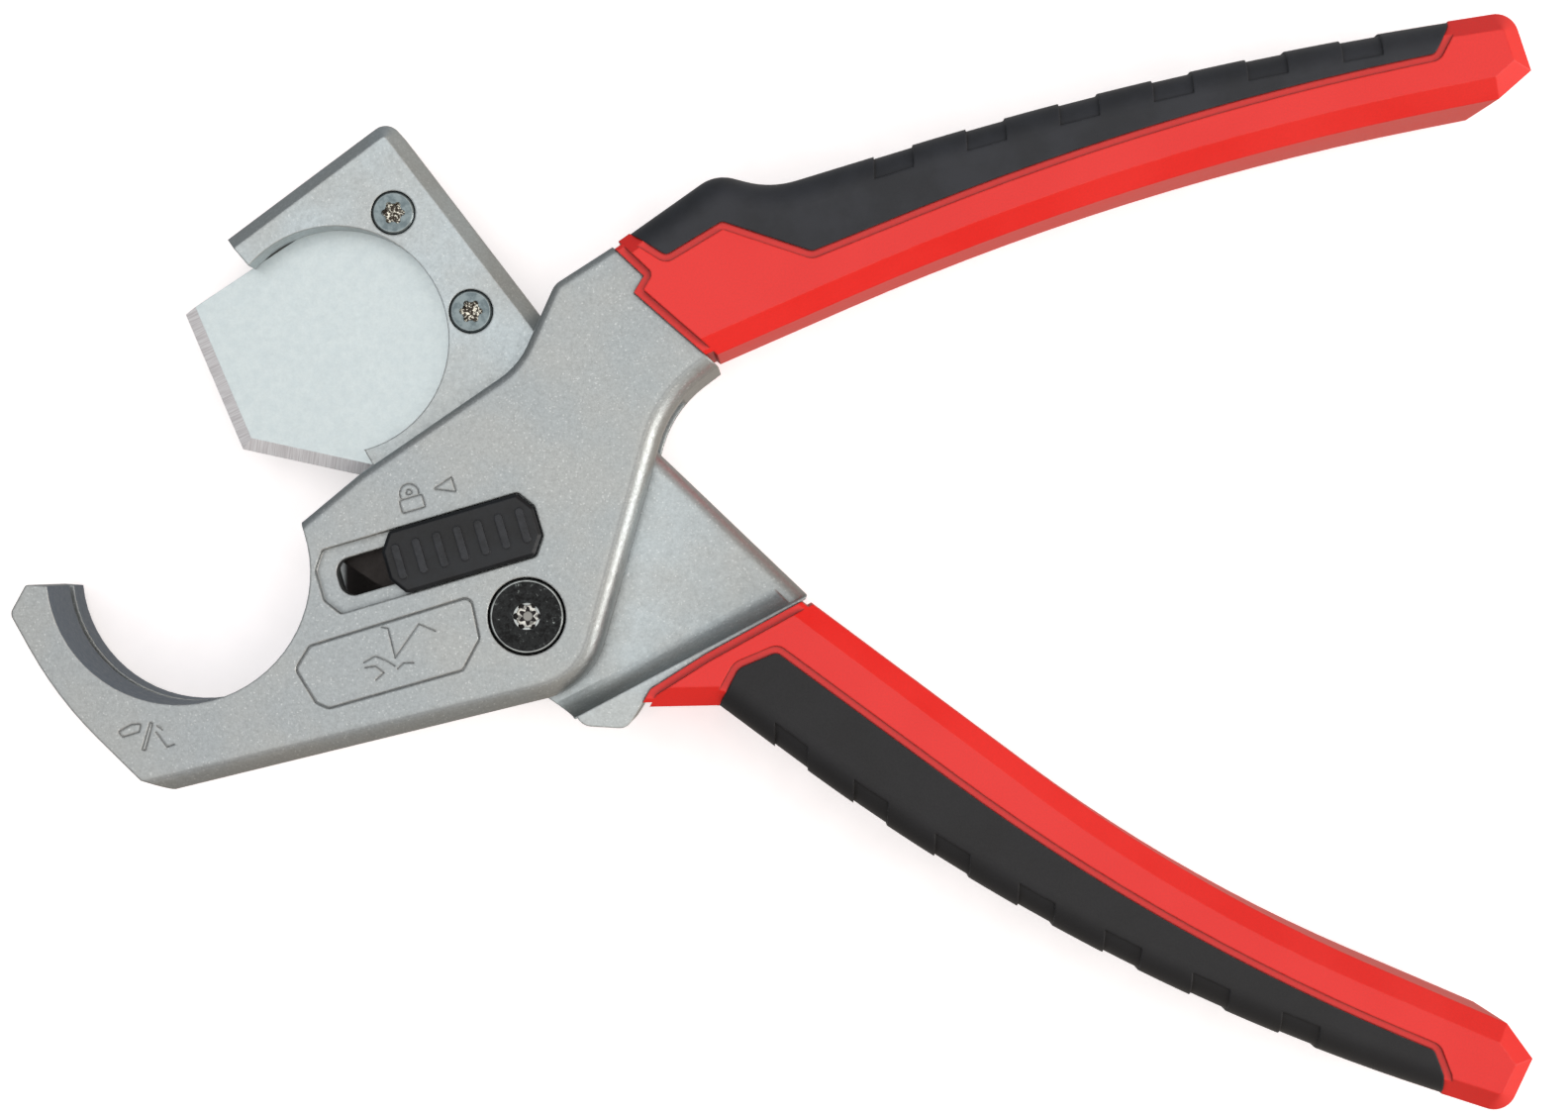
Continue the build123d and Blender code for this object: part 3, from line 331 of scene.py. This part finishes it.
def zinc_steel(name, pale, deep, size=0.9 * MM):
    """Zinc plate with blue-grey clouds and bright edges."""
    g = Graph(name)
    clouds = g.noise(size, 4.0, 0.6)
    base = g.mix(g.span(clouds, 0.33, 0.67), deep, pale)
    fine = g.noise(0.2 * MM, 2.0, 0.7)
    base = g.mix(1.0, base, g.span(fine, 0.3, 0.7, 0.88, 1.10, False), "MULTIPLY")
    rounded = g.soft_edge(0.18 * MM)
    edge = g.edge_mask(rounded)
    base = g.mix(g.math("MULTIPLY", edge, 0.7), base, linear(214, 218, 220))
    rough = g.span(clouds, 0.3, 0.7, 0.24, 0.40, False)
    skin = g.bump(fine, 0.010 * MM, 0.5, rounded)
    g.set(Base_Color=base, Metallic=0.9, Roughness=rough, Normal=skin)
    return g.material


def screw_zinc(centres, head_radius, socket_radius, head_front):
    """Zinc screw heads: satin ring, a painted highlight on the rim and painted shade with painted glints in the
    socket.
    """
    g = Graph("zinc_screws")
    first, second = [g.radius_from(centre) for centre in centres]
    away = g.math("MINIMUM", first, second)
    clouds = g.noise(1.1 * MM, 3.0, 0.55)
    base = g.mix(g.span(clouds, 0.35, 0.65), linear(98, 110, 114), linear(128, 140, 143))
    fine = g.noise(0.16 * MM, 2.0, 0.6)
    base = g.mix(1.0, base, g.span(fine, 0.3, 0.7, 0.93, 1.06, False), "MULTIPLY")

    rounded = g.soft_edge(0.14 * MM)
    # painted highlight: a paler ring on the head's rim
    rim_highlight = g.ring(away, head_radius - 0.34 * MM, head_radius - 0.16 * MM, 0.10 * MM)
    base = g.mix(g.math("MULTIPLY", rim_highlight, 0.45), base, linear(176, 186, 188))
    # painted shade in the socket, with painted glints
    depth = g.span(g.parts()[2], head_front - 0.15 * MM, head_front - 0.5 * MM)
    inside = g.span(away, socket_radius + 0.35 * MM, socket_radius + 0.15 * MM)
    pit = g.math("MULTIPLY", depth, inside)
    glints = g.span(g.noise(0.42 * MM, 3.0, 0.7), 0.50, 0.60)
    socket = g.mix(glints, linear(52, 46, 40), linear(222, 220, 206))
    base = g.mix(pit, base, socket)

    rough = g.span(clouds, 0.3, 0.7, 0.22, 0.34, False)
    skin = g.bump(fine, 0.006 * MM, 0.5, rounded)
    g.set(Base_Color=base, Metallic=0.9, Roughness=rough, Normal=skin)
    return g.material


def wound_steel():
    """Drawn spring wire with a faint oil tint."""
    g = Graph("spring_steel")
    tint = g.noise(1.6 * MM, 3.0, 0.6)
    base = g.mix(g.span(tint, 0.35, 0.65), linear(120, 122, 126), linear(160, 158, 152))
    drawn = g.noise(0.10 * MM, 2.0, 0.7)
    base = g.mix(1.0, base, g.span(drawn, 0.3, 0.7, 0.85, 1.1, False), "MULTIPLY")
    rounded = g.soft_edge(0.1 * MM, 4)
    rough = g.span(drawn, 0.3, 0.7, 0.22, 0.36, False)
    skin = g.bump(drawn, 0.006 * MM, 0.6, rounded)
    g.set(Base_Color=base, Metallic=1.0, Roughness=rough, Normal=skin)
    return g.material


def bearing_bronze():
    """Sintered bronze with open pores."""
    g = Graph("bronze")
    grains = g.cells(0.28 * MM, 1.0, None, "Distance")
    tint = g.noise(2.0 * MM, 3.0, 0.6)
    base = g.mix(g.span(tint, 0.35, 0.65), linear(168, 122, 70), linear(196, 150, 92))
    base = g.mix(g.span(grains, 0.45, 0.75), base, linear(96, 68, 42))
    rounded = g.soft_edge(0.15 * MM, 4)
    rough = g.span(grains, 0.0, 0.8, 0.34, 0.55, False)
    skin = g.bump(grains, 0.012 * MM, 0.6, rounded)
    g.set(Base_Color=base, Metallic=0.9, Roughness=rough, Normal=skin)
    return g.material


# ---- plastics and rubber ----
def lock_plastic(rib_front):
    """Moulded black nylon with a fine spark finish and a painted highlight, in patches, on the rib tops."""
    g = Graph("lock_plastic")
    grain = g.noise(0.22 * MM, 3.0, 0.65)
    clouds = g.noise(3.5 * MM, 3.0, 0.5)
    base = g.mix(g.span(clouds, 0.35, 0.65), linear(9, 13, 18), linear(18, 23, 29))
    base = g.mix(1.0, base, g.span(grain, 0.3, 0.7, 0.85, 1.18, False), "MULTIPLY")
    rounded = g.soft_edge(0.28 * MM)
    edge = g.edge_mask(rounded)
    base = g.mix(g.math("MULTIPLY", edge, 0.30), base, linear(76, 76, 82))
    # painted highlight: the rib tops paler in patches
    ribs = g.span(g.parts()[2], rib_front - 0.45 * MM, rib_front - 0.10 * MM)
    paler_patches = g.math("MULTIPLY", ribs, g.span(g.noise(1.4 * MM, 3.0, 0.6), 0.35, 0.65, 0.10, 0.55))
    base = g.mix(paler_patches, base, linear(48, 51, 57))
    rough = g.span(grain, 0.3, 0.7, 0.36, 0.52, False)
    skin = g.bump(grain, 0.014 * MM, 0.6, rounded)
    g.set(Base_Color=base, Roughness=rough, Normal=skin)
    g.shader.inputs["Specular IOR Level"].default_value = 0.38
    return g.material


def grip_red():
    """Moulded red shell with a fine satin grain."""
    g = Graph("grip_red")
    grain = g.noise(0.30 * MM, 3.0, 0.6)
    clouds = g.noise(22 * MM, 3.0, 0.5)
    base = g.mix(g.span(clouds, 0.35, 0.65), linear(227, 22, 14), linear(231, 33, 27))
    base = g.mix(1.0, base, g.span(grain, 0.3, 0.7, 0.95, 1.05, False), "MULTIPLY")
    rounded = g.soft_edge(0.35 * MM)
    edge = g.edge_mask(rounded)
    paler_patches = g.math("MULTIPLY", edge, g.span(g.noise(3 * MM, 3.0, 0.6), 0.4, 0.62, 0.1, 0.4))
    base = g.mix(paler_patches, base, linear(242, 106, 94))
    # painted shade in creases and where parts meet
    base = g.crease_shaded(base, 0.8 * MM, 0.40)
    rough = g.span(grain, 0.3, 0.7, 0.36, 0.46, False)
    rough = g.math("ADD", rough, g.span(clouds, 0.3, 0.7, -0.03, 0.03, False))
    skin = g.bump(grain, 0.016 * MM, 0.55, rounded)
    g.set(Base_Color=base, Roughness=rough, Normal=skin)
    g.shader.inputs["Specular IOR Level"].default_value = 0.5
    return g.material


def grip_black():
    """Charcoal overmoulded rubber with a fine matt grain, darker on the lower grip as painted shade."""
    g = Graph("grip_black")
    grain = g.noise(0.26 * MM, 4.0, 0.7)
    clouds = g.noise(9 * MM, 4.0, 0.6)
    base = g.mix(g.span(clouds, 0.35, 0.65), linear(31, 34, 40), linear(40, 43, 50))
    # painted shade: the lower grip's pad darker
    below = g.span(g.parts()[1], 15 * MM, -15 * MM)
    base = g.mix(g.math("MULTIPLY", below, 0.75), base, linear(17, 17, 19))
    base = g.mix(1.0, base, g.span(grain, 0.3, 0.7, 0.86, 1.14, False), "MULTIPLY")
    rounded = g.soft_edge(0.4 * MM)
    edge = g.edge_mask(rounded)
    dusty = g.math("MULTIPLY", edge, g.span(g.noise(2.5 * MM, 3.0, 0.6), 0.4, 0.62, 0.05, 0.35))
    base = g.mix(dusty, base, linear(78, 78, 84))
    # painted shade in creases and where parts meet
    base = g.crease_shaded(base, 0.8 * MM, 0.40)
    rough = g.span(grain, 0.3, 0.7, 0.52, 0.68, False)
    skin = g.bump(grain, 0.03 * MM, 0.7, rounded)
    g.set(Base_Color=base, Roughness=rough, Normal=skin)
    g.shader.inputs["Sheen Weight"].default_value = 0.12
    g.shader.inputs["Sheen Roughness"].default_value = 0.4
    g.shader.inputs["Specular IOR Level"].default_value = 0.4
    return g.material


def dress(node, material):
    """Puts material in every material slot of a CAD node."""
    slots = node.data.materials
    if not slots:
        slots.append(material)
    for index in range(len(slots)):
        slots[index] = material


# ---- stage ----
def soft_light(name, place, aim, size, power, colour=(1.0, 1.0, 1.0)):
    lamp = bpy.data.lights.new(name, "AREA")
    lamp.shape = "SQUARE"
    lamp.size = size
    lamp.energy = power
    lamp.color = colour
    holder = bpy.data.objects.new(name, lamp)
    holder.location = place
    holder.rotation_euler = (Vector(aim) - Vector(place)).to_track_quat("-Z", "Y").to_euler()
    holder.visible_camera = False
    bpy.context.scene.collection.objects.link(holder)


def floor():
    bpy.ops.mesh.primitive_plane_add(size=FLOOR_SIZE, location=(0.0, 0.0, -0.05 * MM))
    plane = bpy.context.object
    plane.name = "studio_floor"
    g = Graph("studio_floor")
    paper = g.noise(6 * MM, 4.0, 0.6)
    tone = g.mix(g.span(paper, 0.3, 0.7), linear(246, 243, 244), linear(249, 246, 247))
    g.set(Base_Color=tone, Roughness=0.9, Normal=g.bump(g.noise(0.6 * MM), 0.02 * MM, 0.3))
    g.set(Emission_Color=tone, Emission_Strength=FLOOR_GLOW)
    g.shader.inputs["Specular IOR Level"].default_value = 0.1
    plane.data.materials.append(g.material)
    plane.visible_diffuse = False
    plane.visible_glossy = False
    plane.visible_shadow = False


def backdrop():
    """Pale surround that only the camera sees."""
    bpy.ops.mesh.primitive_uv_sphere_add(segments=48, ring_count=24, radius=BACKDROP_RADIUS)
    shell = bpy.context.object
    shell.name = "studio_backdrop"
    for face in shell.data.polygons:
        face.use_smooth = True
    g = Graph("studio_backdrop")
    haze = g.span(g.parts()[2], 0.0, 5.0)
    tone = g.mix(haze, linear(247, 245, 246), linear(236, 238, 241))
    g.set(Base_Color=(0.0, 0.0, 0.0, 1.0), Roughness=1.0)
    g.set(Emission_Color=tone, Emission_Strength=1.0)
    g.shader.inputs["Specular IOR Level"].default_value = 0.0
    shell.data.materials.append(g.material)
    shell.visible_diffuse = False
    shell.visible_glossy = False
    shell.visible_shadow = False


def world_light(bright_side, dim, bright):
    """Pale surroundings, brighter on one side and cooler on another."""
    world = bpy.data.worlds.new("studio_world")
    world.use_nodes = True
    tree = world.node_tree
    background = tree.nodes["Background"]
    direction = tree.nodes.new("ShaderNodeTexCoord").outputs["Generated"]
    aim = tree.nodes.new("ShaderNodeVectorMath")
    aim.operation = "DOT_PRODUCT"
    tree.links.new(direction, aim.inputs[0])
    aim.inputs[1].default_value = Vector(bright_side).normalized()
    side = tree.nodes.new("ShaderNodeMapRange")
    side.interpolation_type = "SMOOTHSTEP"
    tree.links.new(aim.outputs["Value"], side.inputs["Value"])
    side.inputs["From Min"].default_value = -0.8
    side.inputs["From Max"].default_value = 0.9
    side.inputs["To Min"].default_value = dim
    side.inputs["To Max"].default_value = bright
    tint = tree.nodes.new("ShaderNodeMix")
    tint.data_type = "RGBA"
    tint.inputs[6].default_value = WARM_TINT
    tint.inputs[7].default_value = COOL_TINT
    cool_side = tree.nodes.new("ShaderNodeVectorMath")
    cool_side.operation = "DOT_PRODUCT"
    tree.links.new(direction, cool_side.inputs[0])
    cool_side.inputs[1].default_value = COOL_SIDE
    turn = tree.nodes.new("ShaderNodeMapRange")
    tree.links.new(cool_side.outputs["Value"], turn.inputs["Value"])
    turn.inputs["From Min"].default_value = -0.2
    turn.inputs["From Max"].default_value = 0.8
    tree.links.new(turn.outputs["Result"], tint.inputs[0])
    tree.links.new(tint.outputs[2], background.inputs["Color"])
    tree.links.new(side.outputs["Result"], background.inputs["Strength"])
    bpy.context.scene.world = world


def camera(pivot):
    lens = bpy.data.cameras.new("photo_camera")
    lens.sensor_fit = "HORIZONTAL"
    lens.sensor_width = SENSOR_WIDTH
    lens.lens = SENSOR_WIDTH * VIEW_DISTANCE / VIEW_SPAN
    lens.clip_start = 0.01
    lens.clip_end = 20.0
    holder = bpy.data.objects.new("photo_camera", lens)
    centre = pivot + VIEW_CENTRE_FROM_PIVOT
    holder.location = (centre.x, centre.y, FRAME_FRONT + VIEW_DISTANCE)
    bpy.context.scene.collection.objects.link(holder)
    bpy.context.scene.camera = holder


# ---- build ----
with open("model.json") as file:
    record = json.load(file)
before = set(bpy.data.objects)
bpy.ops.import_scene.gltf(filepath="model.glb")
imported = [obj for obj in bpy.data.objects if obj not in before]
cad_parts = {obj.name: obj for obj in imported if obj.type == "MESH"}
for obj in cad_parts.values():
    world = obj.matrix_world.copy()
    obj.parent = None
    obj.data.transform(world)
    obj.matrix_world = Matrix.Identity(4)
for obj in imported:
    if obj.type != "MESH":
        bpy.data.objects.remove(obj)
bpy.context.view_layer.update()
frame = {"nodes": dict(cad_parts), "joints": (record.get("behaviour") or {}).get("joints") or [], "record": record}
nodes = frame["nodes"]
screw_low, screw_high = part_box("pivot_screw")
screw_centre = (screw_low + screw_high) / 2
screw_radius = (screw_high.x - screw_low.x) / 2
seat_mount = next(m for m in frame["record"]["mounts"] if m["name"] == "pipe_seat")
seat_centre = Vector(seat_mount["pos_m"])
blade_screw_low, blade_screw_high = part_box("blade_screws")
inset = Vector((BLADE_SCREW_RADIUS, -BLADE_SCREW_RADIUS, 0.0))
screw_centres = (
    Vector((blade_screw_low.x, blade_screw_high.y, 0.0)) + inset,
    Vector((blade_screw_high.x, blade_screw_low.y, 0.0)) - inset,
)

casting = painted_casting(
    "cast_metal_frame",
    (-110 * MM, 20 * MM, linear(158, 164, 167), linear(157, 164, 166)),
    # box darkened as painted shade round the pivot
    (screw_centre + Vector((-31, 0, -30)) * MM, screw_centre + Vector((10, 15, -2.5)) * MM),
    FRAME_FRONT,
    seat_centre,
)
arm_paint = painted_casting(
    "cast_metal_arm",
    (-30 * MM, 8 * MM, linear(178, 188, 192), linear(150, 155, 156)),
    # box darkened as painted shade round the pivot
    (screw_centre + Vector((-45, -20, -30)) * MM, screw_centre + Vector((-4, 15, 10)) * MM),
)
finishes = {
    "frame_casting": casting,
    "arm_casting": arm_paint,
    "blade": blade_steel(GRIND_LINE_ANGLES),
    "blade_screws": screw_zinc(
        screw_centres, BLADE_SCREW_RADIUS, BLADE_SOCKET_RADIUS, blade_screw_high.z
    ),
    "pivot_screw": dark_steel(screw_centre, screw_radius, PIVOT_SOCKET_RADIUS, screw_high.z),
    "pivot_sleeve_nut": zinc_steel(
        "zinc_nut", linear(170, 172, 174), linear(120, 124, 128), 1.6 * MM
    ),
    "arm_bush": bearing_bronze(),
    "front_washer": zinc_steel(
        "zinc_washers", linear(182, 184, 186), linear(132, 136, 140), 1.2 * MM
    ),
    "return_spring": wound_steel(),
    "lock_button": lock_plastic(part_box("lock_button")[1].z),
    # the lock plate is coloured dark as painted shade inside the slot
    "lock_plate": zinc_steel(
        "dark_plate_painted_shade", linear(74, 70, 72), linear(50, 47, 48), 2.4 * MM
    ),
    "lock_pin": zinc_steel(
        "zinc_pin", linear(186, 188, 190), linear(146, 148, 150), 0.8 * MM
    ),
    "upper_grip_shell": grip_red(),
    "upper_grip_pad": grip_black(),
}
SAME_FINISH = {
    "rear_washer": "front_washer",
    "wave_washer": "return_spring",
    "detent_spring": "return_spring",
    "lock_rivets": "lock_pin",
    "lower_grip_shell": "upper_grip_shell",
    "lower_grip_pad": "upper_grip_pad",
}
for twin, source in SAME_FINISH.items():
    finishes[twin] = finishes[source]
for name, material in finishes.items():
    dress(nodes[name], material)

floor()
backdrop()
world_light(BRIGHT_SIDE, DIM_WORLD, BRIGHT_WORLD)
soft_light("overhead", (0.0, 0.03, 0.9), (0.0, 0.0, 0.0), 1.25, OVERHEAD_POWER)
soft_light("key", (1.55, -0.28, 0.52), (0.0, 0.0, 0.0), 0.9, KEY_POWER, KEY_COLOUR)

pivot = next(j for j in frame["joints"] if j["name"] == "arm_pivot")["pos_m"]
camera(Vector(pivot))
view = bpy.context.scene.view_settings
view.view_transform = "Standard"
view.look = "None"
view.exposure = 0.0
view.gamma = 1.0
